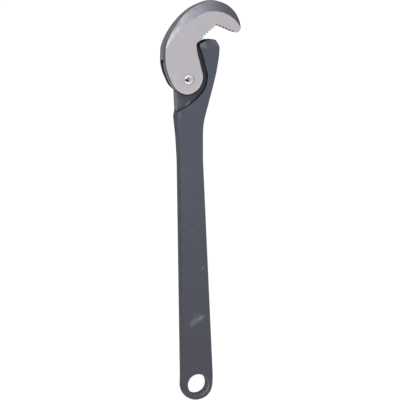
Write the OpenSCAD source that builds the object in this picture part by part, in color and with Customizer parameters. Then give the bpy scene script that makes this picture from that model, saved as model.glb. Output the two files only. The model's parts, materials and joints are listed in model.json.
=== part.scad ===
// Self-adjusting pipe wrench: a forged handle with a toothed nose, and a forked hook jaw
// that swings on a sleeve through the handle's thin tang and is pulled shut by a coil spring.
// The origin is the centre of the hanging hole, +Y runs up the handle to the jaw,
// and +Z points out of the side that the pivot screw is driven from.

/* [Handle] */
// Distance from the hanging hole up to the pivot
grip_length = 273; // [230:1:330]
// Thickness of the forged handle
handle_thick = 14; // [12:0.5:16]
// Width of the grip at its narrowest, below the head
neck_width = 20.6; // [18:0.2:24]
// Distance from the pivot down to the narrowest section
neck_drop = 72; // [66:1:90]
// Width across the round end
end_width = 27.2; // [25:0.2:32]
// Diameter of the hanging hole
hang_hole_d = 18.8; // [14:0.2:20]
// Chamfer at both mouths of the hanging hole
hole_chamfer = 0.6; // [0.3:0.1:1.2]

/* [Head of the handle] */
// Thickness of the tang inside the fork
tang_thick = 6.8; // [6.4:0.2:8]
// How far the pivot sits to the left of the grip's centreline
pivot_offset = 1; // [0:0.5:2]
// Distance from the pivot out to the back edge of the tang
tang_back = 11.3; // [10.5:0.1:12]
// Distance from the pivot out to the right side of the nose
nose_reach = 29.2; // [28:0.2:31]
// Height of the nose's toothed crown above the pivot
nose_height = 33; // [32:0.2:33.6]
// Radius of the toothed crown
crown_r = 18.4; // [17.6:0.2:20]
// Radius of the recess round the hook's lobe
recess_r = 18.2; // [16:0.2:20]
// How far below the pivot the recess runs out on the back edge
recess_drop = 28.6; // [27:0.2:32]

/* [Hook jaw] */
// Thickness of the hook across its two cheeks
hook_thick = 18.4; // [17:0.2:20]
// Radius of the lobe round the pivot
lobe_r = 13.2; // [12:0.2:14]
// Radius of the rim over the mouth
rim_r = 24.2; // [23.6:0.2:26]
// Radius of the rim on the flank, behind the mouth
flank_r = 42.8; // [42:0.2:44.4]
// Radius of the tip
tip_r = 4.4; // [3.4:0.2:5.2]
// Slope of the lower toothed flank, in degrees
lower_slope = 38.4; // [36:0.2:41]
// Slope of the upper toothed flank, in degrees
upper_slope = 24.5; // [22:0.5:27]
// Radius of the cutter that opens the fork
fork_r = 50; // [46:0.5:56]
// Side clearance of the tang in the fork
fork_clear = 0.4; // [0.2:0.05:0.6]
// Gap between the tang and the end of the fork when the jaw is shut
stop_gap = 0.3; // [0.15:0.05:0.5]
// Slope of the crescent bevels on the rim, in degrees
bevel_slope = 28; // [20:1:32]

/* [Teeth] */
// Distance between teeth on the hook's flanks
tooth_pitch = 3; // [2.4:0.1:3.6]
// Depth of the notches between teeth on the hook's flanks
tooth_depth = 1.2; // [0.8:0.1:1.5]
// Distance between teeth on the nose's crown
crown_pitch = 3.4; // [2.8:0.1:3.6]
// Depth of the notches between teeth on the nose's crown
crown_notch_depth = 0.8; // [0.5:0.1:1.2]

/* [Pivot] */
// Outer diameter of the sleeve that the jaw swings on
sleeve_d = 7; // [6.4:0.1:7.4]
// Running clearance on the radius of the sleeve
sleeve_fit = 0.03; // [0.02:0.01:0.08]
// Diameter of the sleeve's flange
flange_d = 12; // [10:0.2:13]
// Thickness of the flange
flange_h = 2; // [1.6:0.1:2.4]
// Diameter of the screw's thread
screw_d = 4; // [3:0.1:4.2]
// Diameter of the screw's raised head
screw_head_d = 8; // [7.8:0.1:9]
// Height of the screw's raised head
screw_head_h = 2.6; // [2.4:0.1:3.4]
// How deep the screw's head sits in the cheek
head_sink = 2.4; // [1.8:0.1:2.6]
// Gap round the screw's head and round the flange
head_gap = 0.4; // [0.3:0.1:1]
// Height of the straight edge of the screw's head, under its dome
screw_edge_h = 1.6; // [0.8:0.1:1.8]
// Length of the screw's thread below its head
screw_length = 11; // [8:0.5:12]

/* [Spring] */
// Wire diameter of the return spring
wire_d = 1; // [0.8:0.05:1.1]
// Mean diameter of the spring's coil
coil_d = 13; // [12.6:0.1:13.4]
// Number of turns in the coil
coil_turns = 3.25; // [2.25:1:3.25]
// Gap between neighbouring turns
coil_gap = 0.05; // [0.02:0.01:0.1]
// Room beside the wire in its groove, as the coil tightens when the jaw opens
groove_gap = 0.6; // [0.4:0.05:0.7]
// How deep the spring's ends go into their holes
leg_depth = 1; // [0.7:0.1:1.1]

/* [Hidden] */
$fn = 96;

slate = [0.30, 0.31, 0.35];
ground_steel = [0.72, 0.71, 0.73];
bright_zinc = [0.80, 0.80, 0.82];
blued_steel = [0.22, 0.22, 0.25];

// A cutter runs this far past the face it starts from
past = 1;
// Turn between neighbouring points on an outline's curves, in degrees
arc_step = 4;
// The outlines stay this far inside the true circles of the round end and the lobe that join them
inside = 0.05;
pivot = [-pivot_offset, grip_length];
end_r = end_width / 2;

// Points below are measured from the pivot, which is [0, 0]
crown_c = [nose_reach - 5.2, nose_height - crown_r];
// Where the first notch sits on the crown, in degrees
first_notch = 88.8;
fork_c = [14.4, -18.4];
// The recess curves past the lobe a little flatter than the lobe itself
recess_bend_r = recess_r + 5.8;
rim_c = [24.2, 43.2];
flank_c = [22.2, 18.8];
crown_blend_r = 56;
heel_blend_r = 22;
mouth_apex = [26.9, 46.4];
relief_r = 0.8;
fork_gap = tang_thick + 2 * fork_clear;

// The crescent bevels are two cones that nearly touch where the line of their centres meets the rim.
// The smaller one is a little large, so that they cross just beside that line.
bevel_flank_c = [38.1, -4.6];
bevel_flank_r = 66;
bevel_rim_r = 27.7;
bevel_turn = 112.7;
bevel_cross = 0.1;
bevel_rim_c = on(bevel_flank_c, bevel_flank_r - bevel_rim_r, bevel_turn);

// Heights of the pivot stack, from the middle of the tang
cheek_face = hook_thick / 2;
head_seat = cheek_face - head_sink;
flange_seat = -cheek_face + flange_h;
sleeve_proud = 0.05;
sleeve_wall_fit = 0.05;
coil_pitch = wire_d + coil_gap;
coil_start = -tang_thick / 2 + wire_d;
coil_end = coil_start + coil_turns * coil_pitch;
groove_floor = coil_end + wire_d / 2;
groove_in = coil_d / 2 - wire_d / 2 - groove_gap;
groove_out = coil_d / 2 + wire_d / 2 + groove_gap;
leg_fit = 0.1;
leg_hole_r = wire_d / 2 + leg_fit;
tang_leg_tip = groove_floor + leg_depth;
cheek_leg_tip = -fork_gap / 2 - leg_depth;
// The coil winds clockwise toward the front, so that opening the jaw tightens it
coil_turned = -coil_turns * 360;

function on(c, r, a) = c + r * [cos(a), sin(a)];
function toward(a, b) = (b - a) / norm(b - a);

// Centre of a circle of radius r that touches circles (c1, r1) and (c2, r2), all bowing the same way.
// Of the two such centres it is the one to the left of the way from c1 to c2.
function blend_centre(c1, r1, c2, r2, r) =
    let (
        span = norm(c2 - c1),
        along = ((r - r1) ^ 2 - (r - r2) ^ 2 + span ^ 2) / (2 * span),
        across = sqrt(max(0, (r - r1) ^ 2 - along ^ 2)),
        dir = toward(c1, c2)
    )
    c1 + along * dir + across * [-dir.y, dir.x];

function heading(a, b) = atan2(b.y - a.y, b.x - a.x);

// Points along the stretch from a to b, without b. A radius above 0 bows it to the right of the way.
function stretch(a, b, r) =
    r == 0 ? [a] :
    let (
        chord = norm(b - a),
        half_turn = asin(min(1, chord / abs(r) / 2)),
        left = [a.y - b.y, b.x - a.x] / chord,
        centre = (a + b) / 2 + r * cos(half_turn) * left,
        start = heading(centre, a),
        steps = max(2, ceil(2 * half_turn / arc_step))
    )
    [for (i = [0 : steps - 1]) on(centre, abs(r), start + sign(r) * 2 * half_turn * i / steps)];

// A closed outline, anticlockwise. Each corner is [x, y, r], where r is the radius of the stretch
// to the next corner: above 0 it bows outwards, below 0 inwards, and 0 is straight.
module outline(corners) {
    n = len(corners);
    point = [for (c = corners) [c.x, c.y]];
    polygon([for (i = [0 : n - 1]) each stretch(point[i], point[(i + 1) % n], corners[i][2])]);
}

function corner(p, r = 0) = [p.x, p.y, r];
function from_pivot(p, r = 0) = corner(pivot + p, r);

// One right-angled notch between two teeth, cut from the +X side to its depth below the origin
module notch(depth) {
    translate([past, 0])
    rotate(45) square((depth + past) * sqrt(2), center = true);
}

// ---------------------------------------------------------------- handle

// The grip and the nose in one outline, without the tang's back corner
module grip_outline() {
    circle(end_r);
    outline([
        corner([-end_r + inside, 0]),
        corner([end_r - inside, 0]),
        corner([neck_width / 2, grip_length - neck_drop]),
        from_pivot([12.0, -48], -64),
        from_pivot([14.5, -33.3]),
        from_pivot([23.0, -5.5], 160),
        from_pivot([nose_reach, nose_height - 6.8], 8.5),
        from_pivot(on(crown_c, crown_r, 83), crown_r),
        from_pivot(on(crown_c, crown_r, 150)),
        from_pivot([0, -recess_drop]),
        from_pivot([-tang_back, -recess_drop]),
        from_pivot([-tang_back, -33], -420),
        corner([-neck_width / 2, grip_length - neck_drop])
    ]);
}

// The tang's top follows the end of the fork, with the stop gap between them
module tang_outline() {
    translate(pivot)
    intersection() {
        translate(fork_c) circle(fork_r - stop_gap);
        outline([
            corner([-tang_back, -recess_drop - past]),
            corner([11, -recess_drop - past]),
            corner([11, 36]),
            corner([-4.5, 30], 12),
            corner([-tang_back, 20])
        ]);
    }
}

// The notches sit on the crown in a fan, one pitch apart
module crown_notches() {
    fan = crown_pitch / crown_r * 180 / PI;
    for (i = [0 : 3])
        translate(pivot + on(crown_c, crown_r, first_notch + i * fan))
        rotate(first_notch + i * fan)
        notch(crown_notch_depth);
}

// The recess that lets the cheeks swing: an S that runs from the nose, round the lobe, to the back
module recess_outline() {
    outline([
        from_pivot([8.9, 44]),
        from_pivot([-40, 44]),
        from_pivot([-40, -recess_drop - 0.4]),
        from_pivot([-14, -recess_drop - 0.4], 26),
        from_pivot([-6, -recess_drop + 2.2], 60),
        from_pivot(on([0, 0], recess_r, -49), recess_bend_r),
        from_pivot(on([0, 0], recess_r, 10))
    ]);
}

module handle() {
    color(slate)
    difference() {
        linear_extrude(handle_thick, center = true)
        difference() {
            union() {
                grip_outline();
                tang_outline();
            }
            crown_notches();
        }
        for (side = [0, 1])
            mirror([0, 0, side])
            translate([0, 0, tang_thick / 2])
            linear_extrude(handle_thick)
            recess_outline();
        cylinder(h = handle_thick + 2 * past, d = hang_hole_d, center = true);
        for (side = [0, 1])
            mirror([0, 0, side])
            translate([0, 0, handle_thick / 2 - hole_chamfer])
            cylinder(h = hole_chamfer + past, r1 = hang_hole_d / 2, r2 = hang_hole_d / 2 + hole_chamfer + past);
        translate([pivot.x, pivot.y, 0]) {
            cylinder(h = handle_thick, r = sleeve_d / 2 + sleeve_fit, center = true);
            spring_groove();
            rotate(coil_turned)
            translate([coil_d / 2, 0, coil_end])
            cylinder(h = tang_leg_tip + leg_fit - coil_end, r = leg_hole_r);
        }
    }
}

// A ring cut into the back of the tang, round the boss that the sleeve turns in
module spring_groove() {
    translate([0, 0, -tang_thick / 2 - past])
    difference() {
        cylinder(h = groove_floor + tang_thick / 2 + past, r = groove_out);
        cylinder(h = groove_floor + tang_thick / 2 + past, r = groove_in);
    }
}

// ---------------------------------------------------------------- hook jaw

tip_c = rim_c + [rim_r - tip_r, 0];
crown_blend_c = blend_centre(rim_c, rim_r, flank_c, flank_r, crown_blend_r);
heel_c = blend_centre([0, 0], lobe_r - inside, flank_c, flank_r, heel_blend_r);
flank_foot = mouth_apex - 16.9 * [cos(lower_slope), sin(lower_slope)];

module hook_outline() {
    circle(lobe_r);
    outline([
        corner(on([0, 0], lobe_r - inside, 6), -200),
        corner([7.8, 30.3], -3),
        corner([9.3, 32.4]),
        corner([flank_foot.x, 34.6]),
        corner(flank_foot),
        corner(mouth_apex),
        corner(on(tip_c, tip_r, -90 - upper_slope), tip_r),
        corner(on(rim_c, rim_r, 0), rim_r),
        corner(on(crown_blend_c, crown_blend_r, heading(crown_blend_c, rim_c)), crown_blend_r),
        corner(on(crown_blend_c, crown_blend_r, heading(crown_blend_c, flank_c)), flank_r),
        corner(on(flank_c, flank_r, heading(flank_c, heel_c)), heel_blend_r),
        corner(on(heel_c, heel_blend_r, heading(heel_c, [0, 0])), lobe_r - inside)
    ]);
}

// Notches stepped away from the mouth's apex along both flanks
module flank_notches() {
    for (flank = [[180 + lower_slope, 90], [-upper_slope, -90]])
        for (i = [1 : 5])
            translate(on(mouth_apex, i * tooth_pitch, flank[0]))
            rotate(flank[0] + flank[1])
            notch(tooth_depth);
    translate(mouth_apex) circle(relief_r);
}

// What lies outside one bevel cone. The cut starts on the right of the line of centres
// and reaches as far as left to the other side of it.
module bevel_cut(centre, radius, left) {
    reach = 60;
    behind = 20;
    depth = 8;
    translate([centre.x, centre.y, cheek_face - depth])
    rotate(bevel_turn)
    difference() {
        translate([-behind, -reach, 0])
        cube([behind + radius + reach, reach + left, depth + past]);
        cylinder(h = depth + past, r1 = radius + depth / tan(bevel_slope), r2 = radius - past / tan(bevel_slope));
    }
}

module hook_jaw() {
    color(ground_steel)
    translate([pivot.x, pivot.y, 0])
    difference() {
        linear_extrude(hook_thick, center = true)
        difference() {
            hook_outline();
            flank_notches();
        }
        linear_extrude(fork_gap, center = true)
        translate(fork_c) circle(fork_r);
        for (side = [0, 1])
            mirror([0, 0, side]) {
                bevel_cut(bevel_flank_c, bevel_flank_r, 60);
                bevel_cut(bevel_rim_c, bevel_rim_r + bevel_cross, 0);
            }
        cylinder(h = hook_thick + 2 * past, r = sleeve_d / 2 + sleeve_wall_fit, center = true);
        translate([0, 0, head_seat])
        cylinder(h = head_sink + past, r = screw_head_d / 2 + head_gap);
        translate([0, 0, -cheek_face - past])
        cylinder(h = flange_h + past, r = flange_d / 2 + head_gap / 2);
        translate([coil_d / 2, 0, cheek_leg_tip - leg_fit])
        cylinder(h = leg_depth + past, r = leg_hole_r);
    }
}

// ---------------------------------------------------------------- pivot and spring

// Flanged sleeve from the back; its front end stands a little proud so that the screw clamps it alone
module pivot_sleeve() {
    color(blued_steel)
    translate([pivot.x, pivot.y, 0])
    difference() {
        union() {
            translate([0, 0, -cheek_face])
            cylinder(h = flange_h, r = flange_d / 2);
            translate([0, 0, -cheek_face])
            cylinder(h = cheek_face + head_seat + sleeve_proud, r = sleeve_d / 2);
        }
        translate([0, 0, flange_seat])
        cylinder(h = hook_thick, r = screw_d / 2 + sleeve_wall_fit / 2);
    }
}

module pivot_screw() {
    dome_h = screw_head_h - screw_edge_h;
    dome_r = ((screw_head_d / 2) ^ 2 + dome_h ^ 2) / (2 * dome_h);
    color(bright_zinc)
    translate([pivot.x, pivot.y, head_seat + sleeve_proud]) {
        rotate_extrude() {
            translate([0, -screw_length]) square([screw_d / 2, screw_length + screw_edge_h]);
            square([screw_head_d / 2, screw_edge_h]);
            intersection() {
                translate([0, screw_head_h - dome_r]) circle(dome_r);
                translate([0, screw_edge_h]) square([screw_head_d / 2, dome_h]);
            }
        }
    }
}

// Wire swept along a helix, with a straight leg at each end that enters its hole along Z
module jaw_spring() {
    steps_per_turn = 20;
    wire_sides = 8;
    steps = round(coil_turns * steps_per_turn);
    helix = [for (i = [0 : steps]) let (a = -i * 360 / steps_per_turn)
        [coil_d / 2 * cos(a), coil_d / 2 * sin(a), coil_start + i / steps_per_turn * coil_pitch]];
    first_leg = [[helix[0].x, helix[0].y, cheek_leg_tip]];
    last_leg = [[helix[steps].x, helix[steps].y, tang_leg_tip]];
    color(bright_zinc)
    translate([pivot.x, pivot.y, 0])
    wire(concat(first_leg, helix, last_leg), wire_d / 2, wire_sides);
}

// A round wire along a path; each ring lies in the plane that halves the bend, and faces outwards
module wire(path, r, sides) {
    last = len(path) - 1;
    ring_points = [for (i = [0 : last])
        let (
            ahead = path[min(i + 1, last)] - path[max(i - 1, 0)],
            t = ahead / norm(ahead),
            radial = [path[i].x, path[i].y, 0] / norm([path[i].x, path[i].y, 0]),
            across = cross(t, radial),
            u = across / norm(across),
            v = cross(u, t)
        )
        for (k = [0 : sides - 1])
            path[i] + r * (cos(k * 360 / sides) * u + sin(k * 360 / sides) * v)];
    walls = [for (i = [0 : last - 1], k = [0 : sides - 1])
        [i * sides + k, i * sides + (k + 1) % sides, (i + 1) * sides + (k + 1) % sides, (i + 1) * sides + k]];
    start_cap = [for (k = [sides - 1 : -1 : 0]) k];
    end_cap = [for (k = [0 : sides - 1]) last * sides + k];
    polyhedron(ring_points, concat([start_cap], walls, [end_cap]));
}

handle();
hook_jaw();
pivot_sleeve();
pivot_screw();
jaw_spring();
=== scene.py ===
import bmesh
import bpy
import json
import math
from mathutils import Matrix, Vector


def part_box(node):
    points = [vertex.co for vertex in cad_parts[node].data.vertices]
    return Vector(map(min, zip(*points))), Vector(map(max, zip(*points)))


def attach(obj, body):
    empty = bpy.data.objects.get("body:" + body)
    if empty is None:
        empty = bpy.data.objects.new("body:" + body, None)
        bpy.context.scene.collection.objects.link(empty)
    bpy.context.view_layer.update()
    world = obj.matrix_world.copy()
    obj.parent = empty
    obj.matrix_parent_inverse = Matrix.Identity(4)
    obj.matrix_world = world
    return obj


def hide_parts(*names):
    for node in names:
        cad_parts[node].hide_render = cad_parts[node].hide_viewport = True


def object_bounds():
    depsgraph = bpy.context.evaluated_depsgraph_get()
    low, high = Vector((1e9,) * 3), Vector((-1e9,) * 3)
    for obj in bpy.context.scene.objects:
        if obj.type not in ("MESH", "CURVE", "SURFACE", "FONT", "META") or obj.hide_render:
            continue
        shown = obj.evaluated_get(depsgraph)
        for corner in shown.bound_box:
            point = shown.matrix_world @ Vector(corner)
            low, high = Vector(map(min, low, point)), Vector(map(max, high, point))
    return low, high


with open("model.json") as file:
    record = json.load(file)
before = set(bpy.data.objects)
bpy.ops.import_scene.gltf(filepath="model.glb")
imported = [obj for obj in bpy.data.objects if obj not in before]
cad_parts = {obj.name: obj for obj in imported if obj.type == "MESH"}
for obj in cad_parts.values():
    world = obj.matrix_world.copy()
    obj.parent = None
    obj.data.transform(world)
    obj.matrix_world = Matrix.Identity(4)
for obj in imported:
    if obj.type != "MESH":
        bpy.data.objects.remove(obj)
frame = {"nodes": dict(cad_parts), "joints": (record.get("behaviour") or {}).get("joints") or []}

cad_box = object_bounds()
nodes = frame["nodes"]
scene = bpy.context.scene
mm = 0.001


# ---- The view and the light.
# The wrench lies on a pale bench and is seen from above, a little from its left and from above its head,
# through a long lens. The room is bright overhead and on the left, and dim on the right and beyond the head.

scene.view_settings.view_transform = "Standard"
pivot = Vector(frame["joints"][0]["pos_m"])
look_at = pivot + Vector((9.22 * mm, -108.57 * mm, 0))
from_left = math.radians(14.407)
from_head = math.radians(8.573)
roll = math.radians(1.696)
view_distance = 2.564
frame_width = 0.3536

back = Vector((-math.sin(from_left) * math.cos(from_head), math.sin(from_head),
               math.cos(from_left) * math.cos(from_head)))
level_right = Vector((math.cos(from_left), 0, math.sin(from_left)))
level_up = back.cross(level_right)
right = math.cos(roll) * level_right - math.sin(roll) * level_up
up = math.sin(roll) * level_right + math.cos(roll) * level_up

camera_data = bpy.data.cameras.new("camera")
camera_data.sensor_width = 36
camera_data.lens = camera_data.sensor_width * view_distance / frame_width
camera_data.clip_end = 20
camera = bpy.data.objects.new("camera", camera_data)
scene.collection.objects.link(camera)
turned = Matrix((right, up, back)).transposed()
camera.matrix_world = Matrix.Translation(look_at + view_distance * back) @ turned.to_4x4()
scene.camera = camera

window_side = (-0.6, -0.25, 0.76)
softbox_distance = 1.5
softbox_light = bpy.data.lights.new("left_softbox", "AREA")
softbox_light.shape = "RECTANGLE"
softbox_light.size = softbox_light.size_y = 1.4
softbox_light.energy = 1.6
softbox = bpy.data.objects.new("left_softbox", softbox_light)
softbox.location = look_at + softbox_distance * Vector(window_side).normalized()
softbox.rotation_euler = (look_at - softbox.location).to_track_quat("-Z", "Y").to_euler()
scene.collection.objects.link(softbox)


def added(tree, kind, inputs=None, **settings):
    """A new node. Each input is a value, or another node's output to link from."""
    made = tree.nodes.new(kind)
    for key, value in settings.items():
        setattr(made, key, value)
    for key, value in (inputs or {}).items():
        if isinstance(value, bpy.types.NodeSocket):
            tree.links.new(value, made.inputs[key])
        else:
            made.inputs[key].default_value = value
    return made


room = bpy.data.worlds.new("room")
scene.world = room
room.use_nodes = True
tree = room.node_tree
sky = tree.nodes["Background"]
facing = added(tree, "ShaderNodeTexCoord")
toward_window = added(tree, "ShaderNodeVectorMath", {0: facing.outputs["Generated"], 1: window_side},
                      operation="DOT_PRODUCT")
dimmest, brightest = 0.16, 1.34
ceiling = added(tree, "ShaderNodeMapRange",
                {"Value": toward_window.outputs["Value"], "From Min": -0.1, "From Max": 0.9,
                 "To Min": dimmest, "To Max": brightest})
tree.links.new(ceiling.outputs["Result"], sky.inputs["Strength"])
sky.inputs["Color"].default_value = (1, 1, 1, 1)


# ---- The bench.
# A wide white sheet under the wrench, which touches it at the back of the jaw. It shows as white to the eye
# and in the steel, and keeps a soft shadow.

bench_mesh = bpy.data.meshes.new("bench")
half_bench = 4
air_gap = 0.1 * mm
bench_z = cad_box[0].z - air_gap
bench_mesh.from_pydata([(x * half_bench, y * half_bench, bench_z) for x, y in
                        ((-1, -1), (1, -1), (1, 1), (-1, 1))], [], [(0, 1, 2, 3)])
bench = bpy.data.objects.new("bench", bench_mesh)
scene.collection.objects.link(bench)

white_sheet = bpy.data.materials.new("white_sheet")
white_sheet.use_nodes = True
tree = white_sheet.node_tree
tree.nodes.clear()
share_in_steel, glow_share = 0.4, 0.84
paper = added(tree, "ShaderNodeBsdfDiffuse", {"Color": (0.85, 0.85, 0.85, 1)})
shine = added(tree, "ShaderNodeEmission", {"Strength": 1.15})
ray = added(tree, "ShaderNodeLightPath")
in_steel = added(tree, "ShaderNodeMath", {0: ray.outputs["Is Glossy Ray"], 1: share_in_steel},
                 operation="MULTIPLY")
seen = added(tree, "ShaderNodeMath", {0: ray.outputs["Is Camera Ray"], 1: in_steel.outputs[0]},
             operation="MAXIMUM")
lifted = added(tree, "ShaderNodeMath", {0: seen.outputs[0], 1: glow_share}, operation="MULTIPLY")
both = added(tree, "ShaderNodeMixShader", {0: lifted.outputs[0], 1: paper.outputs[0], 2: shine.outputs[0]})
added(tree, "ShaderNodeOutputMaterial", {"Surface": both.outputs[0]})
bench_mesh.materials.append(white_sheet)


# ---- The handle.
# One steel forging: the grip, the toothed nose and the thin tang. The die left convex walls, round edges
# and a pitted skin, under a dark satin slate finish that is scuffed low on the grip and rubbed by the teeth.
# Its walls, recess, step and tooth notches are darkened as painted shade, and the hanging hole's wall and
# some round edges are lightened as painted light.

def copied_from(node):
    """A copy of a CAD node's mesh, with its loose triangles merged into the real faces."""
    joined, flat = 0.001 * mm, math.radians(0.3)
    shape = bmesh.new()
    shape.from_mesh(nodes[node].data)
    bmesh.ops.remove_doubles(shape, verts=shape.verts, dist=joined)
    bmesh.ops.dissolve_limit(shape, angle_limit=flat, verts=shape.verts, edges=shape.edges)
    return shape


def middle_of(edge):
    return (edge.verts[0].co + edge.verts[1].co) / 2


def is_level(edge, height):
    """Whether an edge lies in the plane that is this far in front of or behind the middle."""
    nearly = 0.02 * mm
    return all(abs(abs(v.co.z) - height) < nearly for v in edge.verts)


def corner_edges(shape, sharper_than, convex=True):
    return [e for e in shape.edges if e.is_manifold and e.is_convex == convex
            and e.calc_face_angle(0) > math.radians(sharper_than)]


def reach_of(face):
    """How far from the middle plane the corners of a face lie: the least and the most."""
    heights = [abs(v.co.z) for v in face.verts]
    return min(heights), max(heights)


def drawn_out(shape, walls, cuts, bulge):
    """Makes walls convex: cuts them across at these heights and moves each corner out by bulge(place)."""
    shape.faces.index_update()
    numbers = {f.index for f in walls}
    drafted = shape.faces.layers.int.new("drafted")
    for face in shape.faces:
        face[drafted] = face.index in numbers
    for height in cuts:
        part = [f for f in shape.faces if f[drafted]]
        geometry = dict.fromkeys(item for f in part for item in (f, *f.edges, *f.verts))
        bmesh.ops.bisect_plane(shape, geom=list(geometry), plane_co=(0, 0, height), plane_no=(0, 0, 1))
    moves = {}
    for vert in shape.verts:
        sides = [f for f in vert.link_faces if f[drafted]]
        others = [f for f in vert.link_faces if not f[drafted] and abs(f.normal.z) < 0.99]
        if sides and not others:
            outward = sum((f.normal for f in sides), Vector()).normalized()
            moves[vert] = bulge(vert.co) * outward
    for vert, move in moves.items():
        vert.co += move


def read_off(table, at):
    """The value that a table of (place, value) pairs gives at a place, and 0 outside it."""
    for (low, first), (high, last) in zip(table, table[1:]):
        if low <= at < high:
            return first + (last - first) * (at - low) / (high - low)
    return 0


def turn_round(place, middle):
    return math.degrees(math.atan2(place.y - middle.y, place.x - middle.x))


def fitted(shape, shift_of):
    """Moves every corner straight out from the upright walls it belongs to, by shift_of(place) in mm."""
    moves = {}
    for vert in shape.verts:
        walls = [f.normal.xy for f in vert.link_faces if abs(f.normal.z) < 0.5]
        if walls:
            moves[vert] = shift_of(vert.co) * mm * sum(walls, Vector((0, 0))).normalized().to_3d()
    for vert, move in moves.items():
        vert.co += move


def cut_across(shape, heights):
    """Adds corners where the walls cross these heights above the pivot, in mm."""
    for height in heights:
        bmesh.ops.bisect_plane(shape, geom=shape.verts[:] + shape.edges[:] + shape.faces[:],
                               plane_co=pivot + Vector((0, height * mm, 0)), plane_no=(0, 1, 0))


def rounded(shape, edges, radius, segments, convex=True):
    """Rounds these edges, marks the new faces for edge rubbing and painted highlight (half as much in a
    hollow), and returns them.
    """
    wear_and_highlight = shape.faces.layers.float.get("wear_and_highlight") or shape.faces.layers.float.new("wear_and_highlight")
    made = bmesh.ops.bevel(shape, geom=edges, offset=radius, segments=segments, profile=0.5,
                           affect="EDGES", clamp_overlap=True)
    for face in made["faces"]:
        face[wear_and_highlight] = 1 if convex else 0.5
    return made["faces"]


def put_in_order(shape):
    """Numbers corners, edges and faces by their places, so that every run makes the same mesh."""
    def places(part):
        return sorted(tuple(v.co) for v in getattr(part, "verts", [part]))

    for parts in (shape.verts, shape.edges, shape.faces):
        numbers = {part: number for number, part in enumerate(sorted(parts, key=places))}
        parts.sort(key=numbers.get)
        parts.index_update()


def finished_piece(name, shape, body, materials, sharper_than, *stands_for):
    """The scene's piece made from a shape: it rides on a body and stands for these CAD nodes."""
    put_in_order(shape)
    mesh = bpy.data.meshes.new(name)
    shape.to_mesh(mesh)
    shape.free()
    for material in materials:
        mesh.materials.append(material)
    mesh.shade_smooth()
    mesh.set_sharp_from_angle(angle=math.radians(sharper_than))
    piece = bpy.data.objects.new(name, mesh)
    scene.collection.objects.link(piece)
    even = piece.modifiers.new("even_shading", "WEIGHTED_NORMAL")
    even.keep_sharp = True
    even.weight = 100
    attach(piece, body)
    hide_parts(*stands_for)
    return piece


def new_finish(name, color, metallic, roughness, ior=1.5):
    """A material with its shader's plain values set; returns it, its tree and its shader."""
    made = bpy.data.materials.new(name)
    made.use_nodes = True
    shader = made.node_tree.nodes["Principled BSDF"]
    shader.inputs["Base Color"].default_value = (*color, 1)
    shader.inputs["Metallic"].default_value = metallic
    shader.inputs["Roughness"].default_value = roughness
    shader.inputs["IOR"].default_value = ior
    return made, made.node_tree, shader


def place_of(tree):
    return added(tree, "ShaderNodeTexCoord").outputs["Object"]


def place_along(tree, axis):
    return added(tree, "ShaderNodeSeparateXYZ", {0: place_of(tree)}).outputs[axis]


def operated(tree, operation, a, b=0.0):
    return added(tree, "ShaderNodeMath", {0: a, 1: b}, operation=operation).outputs[0]


def moved(tree, operation, a, b):
    return added(tree, "ShaderNodeVectorMath", {0: a, 1: b}, operation=operation).outputs[0]


def ramped(tree, value, low, high, bottom=0.0, top=1.0):
    """Value from low to high, stretched smoothly to bottom and top."""
    return added(tree, "ShaderNodeMapRange", {"Value": value, "From Min": low, "From Max": high,
                                              "To Min": bottom, "To Max": top},
                 interpolation_type="SMOOTHSTEP").outputs["Result"]


def noise(tree, wavelength, detail=3, roughness=0.5, stretch=None, place=None):
    """Noise whose lumps are about this long, in metres, drawn out by stretch along each axis."""
    here = place or place_of(tree)
    if stretch:
        here = moved(tree, "DIVIDE", here, stretch)
    return added(tree, "ShaderNodeTexNoise", {"Vector": here, "Scale": 1 / wavelength, "Detail": detail,
                                              "Roughness": roughness}).outputs["Fac"]


def patch(tree, middle, half_size, turn, softness=0.35):
    """1 inside a soft oval on the front, 0 outside it: middle and half_size in mm, turn in degrees."""
    centred = moved(tree, "SUBTRACT", place_of(tree), (middle[0] * mm, middle[1] * mm, 0))
    aligned = added(tree, "ShaderNodeVectorRotate", {"Vector": centred, "Angle": -math.radians(turn)},
                    rotation_type="Z_AXIS").outputs[0]
    flat = moved(tree, "MULTIPLY", aligned, (1 / (half_size[0] * mm), 1 / (half_size[1] * mm), 0))
    reach = added(tree, "ShaderNodeVectorMath", {0: flat}, operation="LENGTH").outputs["Value"]
    in_front = ramped(tree, place_along(tree, "Z"), -1 * mm, 1 * mm)
    return times(tree, ramped(tree, reach, 1 + softness, 1 - softness), in_front)


def distance_from(tree, middle):
    """How far a place is from the line through middle along Z."""
    centred = moved(tree, "SUBTRACT", place_of(tree), (middle.x, middle.y, 0))
    flat = moved(tree, "MULTIPLY", centred, (1, 1, 0))
    return added(tree, "ShaderNodeVectorMath", {0: flat}, operation="LENGTH").outputs["Value"]


def ring(tree, middle, radius, half_width):
    """1 on a circle round middle, falling to 0 at half_width from it."""
    off = operated(tree, "ABSOLUTE", operated(tree, "SUBTRACT", distance_from(tree, middle), radius))
    return ramped(tree, off, half_width, 0.2 * half_width)


def most(tree, *masks):
    """The strongest of several masks."""
    made = masks[0]
    for mask in masks[1:]:
        made = operated(tree, "MAXIMUM", made, mask)
    return made


def times(tree, *factors):
    made = factors[0]
    for factor in factors[1:]:
        made = operated(tree, "MULTIPLY", made, factor)
    return made


def marks(tree, softness, *ovals):
    """The strongest of several soft ovals, each with its middle, half size, turn and amount."""
    return most(tree, *[times(tree, patch(tree, middle, half_size, turn, softness), amount)
                        for middle, half_size, turn, amount in ovals])


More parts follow.
